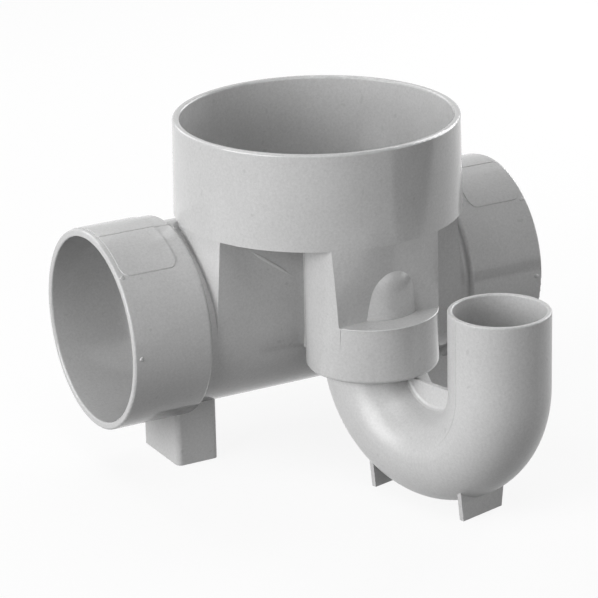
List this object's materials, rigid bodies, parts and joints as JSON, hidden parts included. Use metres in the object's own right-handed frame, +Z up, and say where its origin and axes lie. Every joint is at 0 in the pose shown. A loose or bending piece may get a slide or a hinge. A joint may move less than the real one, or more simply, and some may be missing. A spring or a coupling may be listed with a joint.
{
  "type": "gully trap",
  "caption": "Plastic drainage gully: an open riser socket over a straight run with a pipe socket at each end, and a loose U-bend trap that plugs up into a socket at its side.",
  "frame": {"origin": "centre of the riser socket's mouth", "axes": "+Z up out of the riser socket, +X along the run, -Y the side that carries the trap"},
  "size_m": [0.2846, 0.2869, 0.2113],
  "materials": {
    "body_pvc": "semi-gloss",
    "trap_pvc": "semi-gloss"
  },
  "bodies": {
    "body": {"chamber_body": "body_pvc"},
    "trap": {"u_trap": "trap_pvc"}
  },
  "joints": [
    {"name": "trap_swivel", "type": "hinge", "parent": "body", "child": "trap", "pos_m": [0, -0.0637, -0.12], "axis": [0, 0, 1], "range_deg": [-89.2, 60.8]}
  ]
}
